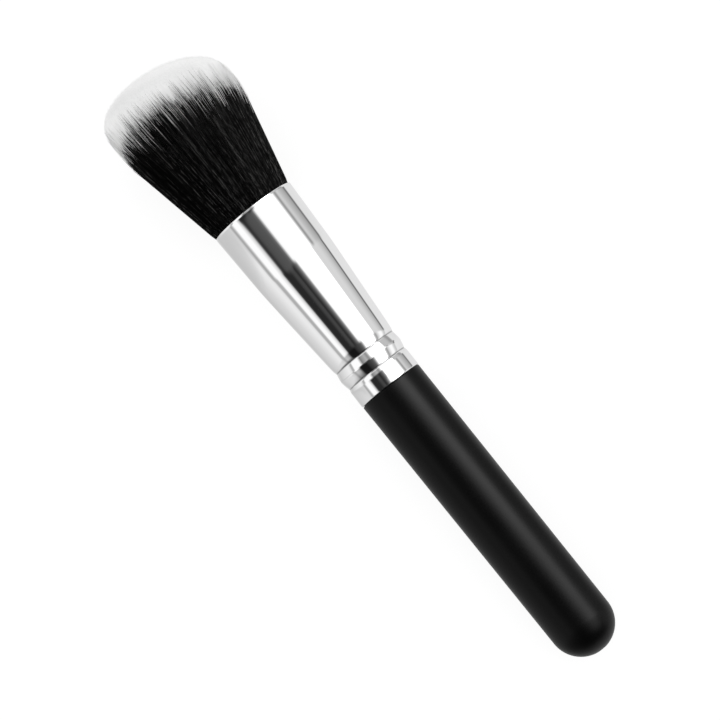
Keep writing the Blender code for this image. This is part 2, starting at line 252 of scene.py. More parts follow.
def make_handle():
    """Turned handle: a dome of the butt's radius with a small flat at its pole, a body that
    widens in a straight line to the shoulder, a rounded shoulder and the stub of the tenon."""
    dome_centre = math.sqrt(BUTT_RADIUS**2 - BUTT_FLAT_RADIUS**2)
    first = math.asin(BUTT_FLAT_RADIUS / BUTT_RADIUS)
    turn = np.linspace(first, QUARTER_TURN, DOME_STATIONS)
    dome_along = dome_centre - BUTT_RADIUS * np.cos(turn)
    dome_radius = BUTT_RADIUS * np.sin(turn)
    handle_end = FERRULE_START - SHOULDER_GAP
    body_end = handle_end - SHOULDER_ROUND_LENGTH
    body_share = np.linspace(0, 1, BODY_STATIONS)[1:]
    body_along = dome_centre + (body_end - dome_centre) * body_share
    body_radius = BUTT_RADIUS + (SHOULDER_RADIUS - BUTT_RADIUS) * body_share
    bend = np.linspace(0, QUARTER_TURN, SHOULDER_STATIONS)[1:]
    round_along = body_end + SHOULDER_ROUND_LENGTH * np.sin(bend)
    round_radius = SHOULDER_RADIUS - SHOULDER_ROUND * (1 - np.cos(bend))
    tenon_along = [handle_end, TENON_END]
    along = np.concatenate([[0], dome_along[1:], body_along, round_along, tenon_along])
    radii = [[BUTT_FLAT_RADIUS], dome_radius[1:], body_radius, round_radius]
    radii = np.concatenate([*radii, [TENON_RADIUS, TENON_RADIUS]])
    poles = np.array([[0.0, 0.0, 0.0], [TENON_END, 0.0, 0.0]])
    return capped_tube("handle_body", turned(along, radii, HANDLE_SIDES), poles)


# Ferrule


def ferrule_radius(along):
    """Outer radius at a distance from the socket's end.

    The socket opens a trace towards its end. Socket and cone dip towards each crimp as
    exp(-distance / flank), and the band between the crimps stands bulge (1 - |u| ** power) above
    its chord, where u runs from -1 to 1. The cone opens in two slopes joined softly, and the lip
    curls in by a quarter of an ellipse.
    """
    socket_fade = np.exp(-np.maximum(LOWER_CRIMP - along, 0) / SOCKET_FLANK)
    socket = SOCKET_RADIUS + SOCKET_OPENING * (LOWER_CRIMP - along)
    socket = socket - (SOCKET_RADIUS - LOWER_CRIMP_RADIUS) * socket_fade
    share = (along - LOWER_CRIMP) / (UPPER_CRIMP - LOWER_CRIMP)
    band = LOWER_CRIMP_RADIUS + (UPPER_CRIMP_RADIUS - LOWER_CRIMP_RADIUS) * share
    band = band + BAND_BULGE * (1 - np.minimum(np.abs(2 * share - 1), 1) ** BAND_POWER)
    lower_slope = (KINK_RADIUS - CONE_FOOT_RADIUS) / (KINK - UPPER_CRIMP)
    upper_slope = (MOUTH_RADIUS - KINK_RADIUS) / (FERRULE_LENGTH - KINK)
    past_kink = KINK_BLEND * np.logaddexp(0, (along - KINK) / KINK_BLEND)
    cone = CONE_FOOT_RADIUS + lower_slope * (along - UPPER_CRIMP)
    cone = cone + (upper_slope - lower_slope) * past_kink
    cone_fade = np.exp(-np.maximum(along - UPPER_CRIMP, 0) / CONE_FLANK)
    cone = cone - (CONE_FOOT_RADIUS - UPPER_CRIMP_RADIUS) * cone_fade
    into_lip = np.maximum(along - (FERRULE_LENGTH - LIP_LENGTH), 0) / LIP_LENGTH
    cone = cone - LIP_CURL * (1 - np.sqrt(1 - np.minimum(into_lip, 1) ** 2))
    return np.where(along <= LOWER_CRIMP, socket, np.where(along <= UPPER_CRIMP, band, cone))


def crease(along):
    """1 in the bottom of each crimp, falling off as exp(-(distance / width) ** 2)."""
    lower = np.exp(-((along - LOWER_CRIMP) / CREASE_WIDTH) ** 2)
    upper = np.exp(-((along - UPPER_CRIMP) / CREASE_WIDTH) ** 2)
    return lower + upper


def make_ferrule():
    """Thin turned tube: the outer profile, a half-round rim at each end and the bore inside.

    Near each end, places along the tube are drawn outwards by an ease of up to the overrun.
    """
    fine = np.unique(np.concatenate([
        np.linspace(0, CRIMPED_LENGTH, CRIMPED_STATIONS),
        np.linspace(CRIMPED_LENGTH, FERRULE_LENGTH - LIP_LENGTH, CONE_STATIONS),
        np.linspace(FERRULE_LENGTH - LIP_LENGTH, FERRULE_LENGTH, LIP_STATIONS),
    ]))
    rim = FERRULE_WALL / 2
    inset = np.clip(fine, rim, FERRULE_LENGTH - rim)
    outside_radius = ferrule_radius(inset) - CREASE_DEPTH * crease(inset)
    bend = np.linspace(-QUARTER_TURN, QUARTER_TURN, RIM_STATIONS)[1:-1]
    coarse = fine[::BORE_STEP][::-1]
    inside = np.clip(coarse, rim, FERRULE_LENGTH - rim)
    inside_radius = ferrule_radius(inside) - FERRULE_WALL
    mouth_centre = outside_radius[-1] - rim
    socket_centre = outside_radius[0] - rim
    mouth_along = FERRULE_LENGTH - rim + rim * np.cos(bend)
    mouth_radius = mouth_centre - rim * np.sin(bend)
    socket_along = rim - rim * np.cos(bend)
    socket_radius = socket_centre + rim * np.sin(bend)
    keep = (fine >= rim) & (fine <= FERRULE_LENGTH - rim)
    keep_inside = (coarse > rim) & (coarse < FERRULE_LENGTH - rim)
    along = np.concatenate([fine[keep], mouth_along, coarse[keep_inside], socket_along])
    radii = np.concatenate([
        outside_radius[keep], mouth_radius, inside_radius[keep_inside], socket_radius,
    ])
    # Share of the crimps' creases that the chrome greys as painted shade
    dark = {"crease": np.minimum(crease(along), 1)}
    at_mouth = smooth(along, FERRULE_LENGTH - END_STRETCH, FERRULE_LENGTH)
    at_socket = smooth(-along, -END_STRETCH, 0)
    along = FERRULE_START + along + MOUTH_OVERRUN * at_mouth - SOCKET_OVERRUN * at_socket
    return turned_tube("ferrule_shell", along, radii, FERRULE_SIDES, dark)


# Hair


def head_radius(height):
    """Outer radius of the head: the bore, a quick spill over the lip, a straight flare, and a
    soft minimum with the head's widest radius, -k log(exp(-a / k) + exp(-b / k))."""
    outside = np.maximum(height, 0)
    flared = BORE + SPILL * (1 - np.exp(-outside / SPILL_HEIGHT)) + FLARE * outside
    return -ROUND_OVER * np.logaddexp(-flared / ROUND_OVER, -HEAD_RADIUS / ROUND_OVER)


def crown_height(share, sideways):
    """Crown above the mouth: edge + (top - edge) (1 - share ** 2) ** power + slant sideways."""
    dome = (1 - np.clip(share, 0, 1) ** 2) ** CROWN_POWER
    return CROWN_EDGE + (CROWN_HEIGHT - CROWN_EDGE) * dome + CROWN_SLANT * sideways


def pressed(points):
    """Hair over the table: z is eased up to the table's top as k log(1 + exp(z / k)) does."""
    table = (TABLE_CLEARANCE - BUTT[2] - points[..., 0] * AXIS[2]) / UP[2]
    lifted = table + PRESS * np.logaddexp(0, (points[..., 2] - table) / PRESS)
    return np.stack([points[..., 0], points[..., 1], lifted], axis=-1)


def head_points(height, radius, angle):
    """Points of the head in the brush's frame, with its lean to one side, its crown's shift
    back to the other and its flatter depth."""
    outside = np.clip(height, 0, None)
    depth = 1 + (HEAD_DEPTH - 1) * np.minimum(1, outside / CROWN_EDGE)
    back = CROWN_SHIFT * smooth(height, *CROWN_SHIFT_ENDS)
    sideways = radius * np.cos(angle) + (HEAD_SHIFT + back - HEAD_LEAN * outside)
    points = np.stack([MOUTH + height, sideways, depth * radius * np.sin(angle)], axis=-1)
    return pressed(leaned(points))


STRAND_SIDES = 3


def strand_sheaf(name, lines, widths, attributes):
    """Three-sided strands along lines (strands, stations, 3), closed at the root and pointed.

    Round each station stand three corners, width (cos u n + sin u b), where n and b are square
    to the line. The last station is the point.
    """
    count, stations = lines.shape[:2]
    tangent = np.gradient(lines, axis=1)
    tangent /= np.linalg.norm(tangent, axis=-1, keepdims=True)
    outward = lines * np.array([0.0, 1.0, 1.0])
    normal = outward - (outward * tangent).sum(-1, keepdims=True) * tangent
    normal /= np.linalg.norm(normal, axis=-1, keepdims=True) + TINY
    binormal = np.cross(tangent, normal)
    turn = FULL_TURN * np.arange(STRAND_SIDES) / STRAND_SIDES
    rings = stations - 1
    around = rings * STRAND_SIDES
    across = np.cos(turn)[:, None] * normal[:, :rings, None]
    across = across + np.sin(turn)[:, None] * binormal[:, :rings, None]
    corners = lines[:, :rings, None] + widths[:, :rings, None, None] * across
    points = np.concatenate([corners.reshape(count, around, 3), lines[:, -1:]], axis=1)
    index = np.arange(around).reshape(rings, STRAND_SIDES)
    low, high = index[:-1], index[1:]
    quads = np.stack([low, np.roll(low, -1, axis=1), np.roll(high, -1, axis=1), high], axis=-1)
    top = index[-1]
    fan = np.stack([top, np.roll(top, -1), np.full(STRAND_SIDES, around)], axis=-1)
    triangles = np.concatenate([index[:1, ::-1], fan])
    offsets = (around + 1) * np.arange(count)
    quads = (quads.reshape(1, -1, 4) + offsets[:, None, None]).reshape(-1, 4)
    triangles = (triangles.reshape(1, -1, 3) + offsets[:, None, None]).reshape(-1, 3)
    spread = {}
    for key, values in attributes.items():
        ringed = np.repeat(values[:, :rings], STRAND_SIDES, axis=1)
        spread[key] = np.concatenate([ringed, values[:, -1:]], axis=1)
    return mesh_object(name, points.reshape(-1, 3), quads, triangles, spread)


def make_sectors(name, count, angle, lines, widths, attributes):
    """The strands in a number of sheaves of like size, each a sector of the head."""
    order = np.argsort(angle % FULL_TURN)
    made = []
    for number, chosen in enumerate(np.array_split(order, count), start=1):
        sector = {key: values[chosen] for key, values in attributes.items()}
        made.append(strand_sheaf(f"{name}_{number}", lines[chosen], widths[chosen], sector))
    return made


BLACK_SLANT = 4.0 * MM
BLACK_SIDE_DROP = 4.4 * MM


def uneven_slant(angle):
    """How much longer the black hair is at an angle whose cosine is c: slant c, less a drop
    c ** 4 (1 + c) / 2 towards the longer side."""
    across = np.cos(angle)
    return BLACK_SLANT * across - BLACK_SIDE_DROP * across**4 * (1 + across) / 2


def whiteness_height(height, angle, share=1):
    """Height as a share of the crown's, with the black hair's uneven slant taken out of it."""
    return (height - share * uneven_slant(angle)) / CROWN_HEIGHT


CORE_SHARE = 0.90
CORE_TOP_SHARE = 0.96
CORE_SWELL_ENDS = (27 * MM, 33 * MM)
CORE_DEPTH = 1.0 * MM
CORE_LAST_TURN = 0.98 * QUARTER_TURN
CORE_SIDES_EVENER = 0.6
CORE_TONE = 0.5
CORE_SIDES = 160
CORE_STATIONS = 40


def make_core():
    """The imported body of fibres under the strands: most of the head's radius, and a dome that
    stands a little below the crown."""
    turn = FULL_TURN * np.arange(CORE_SIDES) / CORE_SIDES
    side_height = np.linspace(HAIR_START, CROWN_EDGE, CORE_STATIONS)[:, None] + 0 * turn
    swell = smooth(side_height, *CORE_SWELL_ENDS)
    side_share = CORE_SHARE + (CORE_TOP_SHARE - CORE_SHARE) * swell
    over = np.linspace(0, CORE_LAST_TURN, CORE_STATIONS)[:, None]
    dome_share = CORE_TOP_SHARE * np.cos(over) + 0 * turn
    dome_height = crown_height(dome_share, HEAD_RADIUS * dome_share * np.cos(turn)) - CORE_DEPTH
    height = np.concatenate([side_height, dome_height])
    share = np.concatenate([side_share, dome_share])
    points = head_points(height, share * head_radius(height), turn)
    poles = head_points(np.array([HAIR_START, CROWN_HEIGHT - CORE_DEPTH]), np.zeros(2), np.zeros(2))
    level = whiteness_height(height, turn, share)
    level = np.append(level, [HAIR_START / CROWN_HEIGHT, 1 - CORE_DEPTH / CROWN_HEIGHT])
    uneven = 1 - CORE_SIDES_EVENER * np.cos(turn) ** 2 + 0 * height
    uneven = np.append(uneven, [1, 1])
    attributes = {"tone": np.full_like(level, CORE_TONE), "height": level, "uneven": uneven}
    return capped_tube("packed_fibre_body", points, poles, attributes)


def strand_heights(length, lower, shares):
    """Stations of each strand: fixed heights at the root, then shares of the way to the tip."""
    fixed = np.broadcast_to(lower, (len(length), len(lower)))
    way = length[:, None] - fixed[:, -1:]
    return np.concatenate([fixed, fixed[:, -1:] + way * shares], axis=1)


def even_shares(rng, inner, count):
    """Shares of the radius from inner to 1, as dense everywhere: the square root of a random
    number from inner squared to 1."""
    return np.sqrt(inner**2 + (1 - inner**2) * rng.random(count))


def strand_tones(rng, height):
    """A random tone for each strand, the same at all its stations."""
    return np.broadcast_to(rng.random((len(height), 1)), height.shape)


THINNING_START_SHARE = 0.8


def tapered(height, length, thinner, start_share=THINNING_START_SHARE):
    """Share of a strand's width: 1 up to a share of its length, and eased down by thinner to
    the tip."""
    tip = length[:, None]
    return 1 - thinner * smooth(height, start_share * tip, tip)


BLACK_SEED = 11
BLACK_COUNT = 15500
BLACK_CLUMPS = 3400
BLACK_SHEAVES = 4
BLACK_INNER_SHARE = 0.90
BLACK_TOP_SHARE = 0.96
BLACK_LENGTH = 30.0 * MM
BLACK_WIDTH = 0.060 * MM
BLACK_FUZZ = 0.04 * MM
BLACK_ROOT_HEIGHTS = np.array([HAIR_START, -0.2 * MM, 0.4 * MM, 1.6 * MM, 9 * MM])
BLACK_TIP_SHARES = np.array([0.35, 0.65, 0.85, 1])
BLACK_THINNER = 0.55
TOOTH_KNOTS = 120
TOOTH_DEPTH = 0.5 * MM
CLUMP_SPREAD = 2.4 * MM
SIDES_EVENER = 0.7
CLUMP_WIDTH = 0.10 * MM
CLUMP_GATHER = 0.85
CLUMP_GATHER_START = 18 * MM
FIBRE_SHORTER = 0.8 * MM
WISP_SHARE = 0.10
WISP_LONGER = 2.4 * MM
WISP_DRIFT = 0.05
WISP_SPREAD = 1.8
WISP_INNER_SHARE = 0.965
WISP_OUTWARD_SHARE = 0.03
WISP_WIDTH_SHARE = 0.8
SHORT_SIDE_PAINTED_SHEEN = 0.13


def make_black_hair():
    """Shorter black hair: fibres gather in thin clumps that end in points, and the clumps end in
    uneven teeth round the head.

    The teeth are straight runs between random depths at even angles. A few wisps run on alone.
    """
    rng = np.random.default_rng(BLACK_SEED)
    clump_angle = FULL_TURN * rng.random(BLACK_CLUMPS)
    clump_share = even_shares(rng, BLACK_INNER_SHARE, BLACK_CLUMPS)
    depths = TOOTH_DEPTH * rng.standard_normal(TOOTH_KNOTS)
    knots = FULL_TURN * np.arange(TOOTH_KNOTS) / TOOTH_KNOTS
    tooth = np.interp(clump_angle, knots, depths, period=FULL_TURN)
    evener = 1 - SIDES_EVENER * np.cos(clump_angle) ** 2
    spread = CLUMP_SPREAD * evener * rng.standard_normal(BLACK_CLUMPS)
    clump_length = BLACK_LENGTH + tooth + spread + uneven_slant(clump_angle)
    clump = rng.integers(0, BLACK_CLUMPS, BLACK_COUNT)
    wisp = rng.random(BLACK_COUNT) < WISP_SHARE
    aside = rng.standard_normal(BLACK_COUNT)
    inward = rng.standard_normal(BLACK_COUNT)
    shorter = FIBRE_SHORTER * rng.exponential(size=BLACK_COUNT)
    longer = WISP_LONGER * evener[clump] * rng.exponential(size=BLACK_COUNT)
    length = clump_length[clump] + np.where(wisp, longer, -shorter)
    highest = crown_height(BLACK_TOP_SHARE, HEAD_RADIUS * np.cos(clump_angle[clump]))
    length = np.minimum(length, highest)
    height = strand_heights(length, BLACK_ROOT_HEIGHTS, BLACK_TIP_SHARES)
    gather = 1 - CLUMP_GATHER * smooth(height, CLUMP_GATHER_START, length[:, None])
    gather = np.where(wisp[:, None], WISP_SPREAD, gather)
    wisp_share = WISP_INNER_SHARE + WISP_OUTWARD_SHARE * rng.random(BLACK_COUNT)
    share = np.where(wisp, wisp_share, clump_share[clump])
    middle = share[:, None] * head_radius(height)
    angle = clump_angle[clump, None] + CLUMP_WIDTH * aside[:, None] * gather / middle
    drift = np.where(wisp, WISP_DRIFT * rng.standard_normal(BLACK_COUNT), 0)
    angle = angle + drift[:, None] * height / length[:, None]
    radius = middle + CLUMP_WIDTH * inward[:, None] * gather
    radius = np.minimum(radius, head_radius(height) + BLACK_FUZZ * inward[:, None])
    lines = head_points(height, radius, angle)
    taper = tapered(height, length, BLACK_THINNER)
    taper = taper * np.where(wisp, WISP_WIDTH_SHARE, 1)[:, None]
    tone = strand_tones(rng, height)
    # Clump tone: random, plus a painted sheen that greys the clumps towards the shorter side
    clump_tone_and_sheen = rng.random(BLACK_CLUMPS) + SHORT_SIDE_PAINTED_SHEEN * (1 - np.cos(clump_angle)) ** 2
    clump_tone_and_sheen = np.broadcast_to(clump_tone_and_sheen[clump, None], height.shape)
    attributes = {"tone": tone, "clump": clump_tone_and_sheen, "height": height / CROWN_HEIGHT}
    widths = BLACK_WIDTH * taper
    return make_sectors("black_hair_sheaf", BLACK_SHEAVES, angle[:, 0], lines, widths, attributes)


def white_sheaves(name, angle, height, radius, widths, tone, level, count=1):
    """White fibres, each at one angle round the head, in a number of sheaves."""
    lines = head_points(height, radius, np.broadcast_to(angle[:, None], height.shape))
    return make_sectors(name, count, angle, lines, widths, {"tone": tone, "height": level})


WHITE_WIDTH = 0.036 * MM
WHITE_TIP_SPREAD = 0.8 * MM
WHITE_THINNER = 0.75

CROWN_SEED = 23
CROWN_COUNT = 4500
CROWN_REACH = 7.0 * MM
CROWN_OUTER_SHARE = 0.993
CROWN_TIP_SHARES = np.array([0, 0.4, 0.75, 1])


def make_crown_fibres():
    """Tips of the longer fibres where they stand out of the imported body, all over the dome."""
    rng = np.random.default_rng(CROWN_SEED)
    share = CROWN_OUTER_SHARE * even_shares(rng, 0, CROWN_COUNT)
    angle = FULL_TURN * rng.random(CROWN_COUNT)
    shorter = np.abs(WHITE_TIP_SPREAD * rng.standard_normal(CROWN_COUNT))
    length = crown_height(share, HEAD_RADIUS * share * np.cos(angle)) - shorter
    tip = length[:, None]
    height = tip + CROWN_REACH * (CROWN_TIP_SHARES - 1)
    radius = share[:, None] * head_radius(height)
    taper = 1 - WHITE_THINNER * smooth(height, tip - CROWN_REACH / 2, tip)
    tone = strand_tones(rng, height)
    level = whiteness_height(height, angle[:, None], share[:, None])
    widths = WHITE_WIDTH * taper
    return white_sheaves("white_crown_sheaf", angle, height, radius, widths, tone, level)


RIM_SEED = 29
RIM_COUNT = 1400
RIM_SHEAVES = 3
RIM_INNER_SHARE = 0.95
RIM_HIDDEN_SHARE = 0.86
RIM_OUT = 35 * MM
RIM_OUT_SPREAD = 4 * MM
RIM_EMERGE = 5 * MM
RIM_ROOT_HEIGHTS = np.array([14, 22]) * MM
RIM_TIP_SHARES = np.array([0.3, 0.6, 0.85, 1])
RIM_THINNING_START_SHARE = 0.85


def make_rim_fibres():
    """Longer fibres that come up through the black hair, each out to its own place at its own
    height, and end round the edge of the dome."""
    rng = np.random.default_rng(RIM_SEED)
    share = even_shares(rng, RIM_INNER_SHARE, RIM_COUNT)
    angle = FULL_TURN * rng.random(RIM_COUNT)
    shorter = np.abs(WHITE_TIP_SPREAD * rng.standard_normal(RIM_COUNT))
    length = crown_height(share, HEAD_RADIUS * np.cos(angle) * share) - shorter
    height = strand_heights(length, RIM_ROOT_HEIGHTS, RIM_TIP_SHARES)
    out = RIM_OUT + RIM_OUT_SPREAD * rng.random(RIM_COUNT) + uneven_slant(angle)
    emerge = smooth(height, out[:, None] - RIM_EMERGE, out[:, None])
    outward = RIM_HIDDEN_SHARE + (share[:, None] - RIM_HIDDEN_SHARE) * emerge
    radius = head_radius(height) * outward
    taper = tapered(height, length, WHITE_THINNER, RIM_THINNING_START_SHARE)
    tone = strand_tones(rng, height)
    level = whiteness_height(height, angle[:, None])
    widths = WHITE_WIDTH * taper
    sheaf = "white_rim_sheaf"
    return white_sheaves(sheaf, angle, height, radius, widths, tone, level, RIM_SHEAVES)


LONE_TOP_SHARE = 0.985
LONE_THINNER = 0.6

STREAK_SEED = 37
STREAK_CLUMPS = 280
STREAK_COUNT = 420
STREAK_SPREAD = 0.035 * MM
STREAK_WIDTH = 0.044 * MM
STREAK_LEAST_SHARE = 0.6
STREAK_LIGHTER = 0.10
STREAK_OUT = 35 * MM
STREAK_OUT_DROP = 11 * MM
STREAK_EMERGE = 12 * MM
STREAK_HIDDEN_SHARE = 0.965
STREAK_DEPTH = 0.06 * MM
STREAK_STANDS_OFF = 0.05 * MM
STREAK_SHORTER = 3.0 * MM
STREAK_THICKENING = 8 * MM
STREAK_THIN_SHARE = 0.6
STREAK_ROOT_HEIGHTS = np.array([12, 18]) * MM
STREAK_TIP_SHARES = np.array([0.2, 0.4, 0.6, 0.8, 1])


def make_streaks():
    """White fibres threaded through the face of the black hair in thin straight streaks.

    A streak comes out at the height out - drop (random) ** 2, less uneven at the sides. Its
    fibres have from the least share of the width to twice that.
    """
    rng = np.random.default_rng(STREAK_SEED)
    streak_angle = FULL_TURN * rng.random(STREAK_CLUMPS)
    streak = rng.integers(0, STREAK_CLUMPS, STREAK_COUNT)
    drop = STREAK_OUT_DROP * (1 - SIDES_EVENER * np.cos(streak_angle) ** 2)
    streak_out = STREAK_OUT - drop * rng.random(STREAK_CLUMPS) ** 2
    aside = STREAK_SPREAD * rng.standard_normal(STREAK_COUNT)
    angle = streak_angle[streak] + aside / HEAD_RADIUS
    out = (streak_out[streak] + uneven_slant(angle))[:, None]
    depth = STREAK_DEPTH * rng.random(STREAK_COUNT)
    shorter = STREAK_SHORTER * rng.random(STREAK_COUNT)
    length = crown_height(LONE_TOP_SHARE, HEAD_RADIUS * np.cos(angle)) - shorter
    height = strand_heights(length, STREAK_ROOT_HEIGHTS, STREAK_TIP_SHARES)
    emerge = smooth(height, out - STREAK_EMERGE, out)
    outward = STREAK_HIDDEN_SHARE + (1 - STREAK_HIDDEN_SHARE) * emerge
    radius = head_radius(height) * outward - depth[:, None] + STREAK_STANDS_OFF * emerge
    taper = tapered(height, length, LONE_THINNER)
    thicken = smooth(height, out - STREAK_THICKENING, out)
    taper = taper * (STREAK_THIN_SHARE + (1 - STREAK_THIN_SHARE) * thicken)
    tone = strand_tones(rng, height)
    level = whiteness_height(height, angle[:, None]) + STREAK_LIGHTER
    thickness = STREAK_LEAST_SHARE * (1 + rng.random((STREAK_COUNT, 1)))
    widths = STREAK_WIDTH * thickness * taper
    return white_sheaves("white_streak_sheaf", angle, height, radius, widths, tone, level)


STRAY_SEED = 41
STRAY_COUNT = 220
STRAY_OUT = 15 * MM
STRAY_OUT_SPREAD = 8 * MM
STRAY_EMERGE_BELOW = 4 * MM
STRAY_EMERGE_ABOVE = 6 * MM
STRAY_HIDDEN_SHARE = 0.96
STRAY_STANDS_OFF = 0.5 * MM
STRAY_SETTLE_ENDS = (26 * MM, 36 * MM)
STRAY_SHORTER = 6.0 * MM
STRAY_WIDTH = 0.03 * MM
STRAY_WIDER = 0.012 * MM
STRAY_LIGHTER = 0.22
SHORT_SIDE_ENDS = (0.93, 0.99)
STRAY_ROOT_HEIGHTS = np.array([12, 16]) * MM
STRAY_TIP_SHARES = np.array([0.25, 0.5, 0.75, 1])


def make_strays():
    """Single white fibres that stand a little off the head, thicker and lighter at the outline
    of its shorter side."""
    rng = np.random.default_rng(STRAY_SEED)
    angle = FULL_TURN * rng.random(STRAY_COUNT)
    out = (STRAY_OUT + STRAY_OUT_SPREAD * rng.random(STRAY_COUNT))[:, None]
    shorter = STRAY_SHORTER * rng.random(STRAY_COUNT)
    length = crown_height(LONE_TOP_SHARE, HEAD_RADIUS * np.cos(angle)) - shorter
    height = strand_heights(length, STRAY_ROOT_HEIGHTS, STRAY_TIP_SHARES)
    emerge = smooth(height, out - STRAY_EMERGE_BELOW, out + STRAY_EMERGE_ABOVE)
    settle = 1 - smooth(height, *STRAY_SETTLE_ENDS)
    off = STRAY_STANDS_OFF * rng.random(STRAY_COUNT)[:, None] * emerge * settle
    outward = STRAY_HIDDEN_SHARE + (1 - STRAY_HIDDEN_SHARE) * emerge
    radius = head_radius(height) * outward + off
    taper = tapered(height, length, LONE_THINNER)
    tone = strand_tones(rng, height)
    short_side = smooth(-np.cos(angle), *SHORT_SIDE_ENDS)[:, None]
    level = whiteness_height(height, angle[:, None]) + STRAY_LIGHTER * short_side
    widths = (STRAY_WIDTH + STRAY_WIDER * short_side) * taper
    return white_sheaves("white_stray_sheaf", angle, height, radius, widths, tone, level)


# Nodes


def wire(tree, made, inputs):
    """Sets a node's inputs to values, or links them to sockets."""
    for key, value in inputs.items():
        if isinstance(value, bpy.types.NodeSocket):
            tree.links.new(value, made.inputs[key])
        else:
            made.inputs[key].default_value = value


def node(tree, kind, inputs=None, **settings):
    """A new node with its settings and its inputs."""
    made = tree.nodes.new("ShaderNode" + kind)
    for key, value in settings.items():
        setattr(made, key, value)
    wire(tree, made, inputs or {})
    return made


def math_node(tree, operation, *values):
    """Result of a calculation with values and sockets."""
    return node(tree, "Math", dict(enumerate(values)), operation=operation).outputs[0]


def product(tree, first, second):
    """first times second."""
    return math_node(tree, "MULTIPLY", first, second)


def eased(tree, value, low, high, to_low=0.0, to_high=1.0):
    """Map Range with an ease, from low and high to to_low and to_high."""
    ends = {"From Min": low, "From Max": high, "To Min": to_low, "To Max": to_high}
    made = node(tree, "MapRange", {"Value": value, **ends}, interpolation_type="SMOOTHSTEP")
    return made.outputs["Result"]


def mixed(tree, share, first, second):
    """Colour from first to second. A Mix node's colours are its inputs 6 and 7 and output 2."""
    return node(tree, "Mix", {0: share, 6: first, 7: second}, data_type="RGBA").outputs[2]


def grey(level):
    """Opaque grey."""
    return (level, level, level, 1)


def attribute(tree, name):
    """What a piece's mesh holds under a name."""
    return node(tree, "Attribute", attribute_name=name).outputs["Fac"]


def object_place(tree):
    """Place on the brush, the same from every view."""
    return node(tree, "TexCoord").outputs["Object"]


def noise(tree, place, scale, detail):
    """Cloudy pattern whose scale is in clouds a metre."""
    made = node(tree, "TexNoise", {"Vector": place, "Scale": scale, "Detail": detail})
    return made.outputs["Fac"]


def grain(tree, place, scales, detail):
    """Cloudy pattern drawn out along the brush: one scale along it and two across."""
    drawn_out = node(tree, "VectorMath", {0: place, 1: scales}, operation="MULTIPLY")
    return noise(tree, drawn_out.outputs[0], 1.0, detail)


def bumped(tree, height, strength, distance):
    """Normal tilted by the slope of a height."""
    inputs = {"Height": height, "Strength": strength, "Distance": distance}
    return node(tree, "Bump", inputs).outputs["Normal"]


# Materials


def new_material(name):
    """A new material, its node tree and its shader."""
    made = bpy.data.materials.new(name)
    made.use_nodes = True
    tree = made.node_tree
    return made, tree, tree.nodes["Principled BSDF"]


def lacquer_material():
    """Satin black lacquer: almost flat black, with a very fine orange peel."""
    made, tree, shader = new_material("satin_black_lacquer")
    place = object_place(tree)
    cloud = noise(tree, place, scale=90.0, detail=3.0)
    peel = noise(tree, place, scale=1500.0, detail=2.0)
    wire(tree, shader, {
        "Base Color": mixed(tree, cloud, grey(0.0006), grey(0.0016)),
        "Roughness": eased(tree, cloud, 0.3, 0.7, to_low=0.35, to_high=0.38),
        "Normal": bumped(tree, peel, strength=0.05, distance=0.02 * MM),
        "IOR": 1.24,
    })
    return made


def chrome_material():
    """Bright plating with a faint long wave left by the spinning, and painted shade in the crimps'
    creases.
    """
    made, tree, shader = new_material("bright_chrome")
    place = object_place(tree)
    wave = noise(tree, place, scale=70.0, detail=1.0)
    fine = noise(tree, place, scale=400.0, detail=3.0)
    crease_shade = attribute(tree, "crease")
    wire(tree, shader, {
        # Painted shade: the base colour goes to grey in the bottom of each crimp
        "Base Color": mixed(tree, crease_shade, (0.985, 0.985, 0.988, 1), grey(0.40)),
        "Roughness": eased(tree, fine, 0.35, 0.75, to_low=0.008, to_high=0.025),
        "Normal": bumped(tree, wave, strength=0.15, distance=0.05 * MM),
        "Metallic": 1.0,
    })
    return made


def black_hair_material():
    """Black fibre whose strands and clumps differ a little, from cold black to dark brown. Some
    clumps, and patches of single strands, carry painted glints of grey, and the clumps grey
    towards the head's shorter side as a painted sheen."""
    made, tree, shader = new_material("black_hair_fibre")
    tone = attribute(tree, "tone")
    clump = attribute(tree, "clump")
    patch = grain(tree, object_place(tree), (80, 2600, 2600), detail=2.0)
    clump_grey_and_painted_sheen = eased(tree, clump, 0.6, 1.4, to_high=0.05)
    painted_strand_glint = product(tree, eased(tree, tone, 0.82, 1.0), eased(tree, patch, 0.44, 0.62))
    painted_clump_shine = eased(tree, clump, 0.80, 1.0, to_high=0.38)
    painted_clump_shine = product(tree, painted_clump_shine, eased(tree, patch, 0.40, 0.62))
    colour = mixed(tree, tone, (0.0002, 0.0002, 0.0003, 1), (0.0015, 0.0014, 0.0013, 1))
    # Each share mixes in grey: random clump tone with a painted sheen, then painted glints and
    # shine
    for share in (clump_grey_and_painted_sheen, painted_strand_glint, painted_clump_shine):
        colour = mixed(tree, share, colour, (0.10, 0.099, 0.097, 1))
    wire(tree, shader, {
        "Base Color": colour,
        "Roughness": eased(tree, tone, 0.0, 1.0, to_low=0.35, to_high=0.55),
        "Specular IOR Level": 0.05,
    })
    return made


TONE_LIFT = 0.10
CROWN_WHITE_ENDS = (0.86, 0.95)
# Painted light at the head's outline: distances to the side over which the white brightens
PAINTED_OUTLINE_LIGHT_ENDS = (9 * MM, 16 * MM)


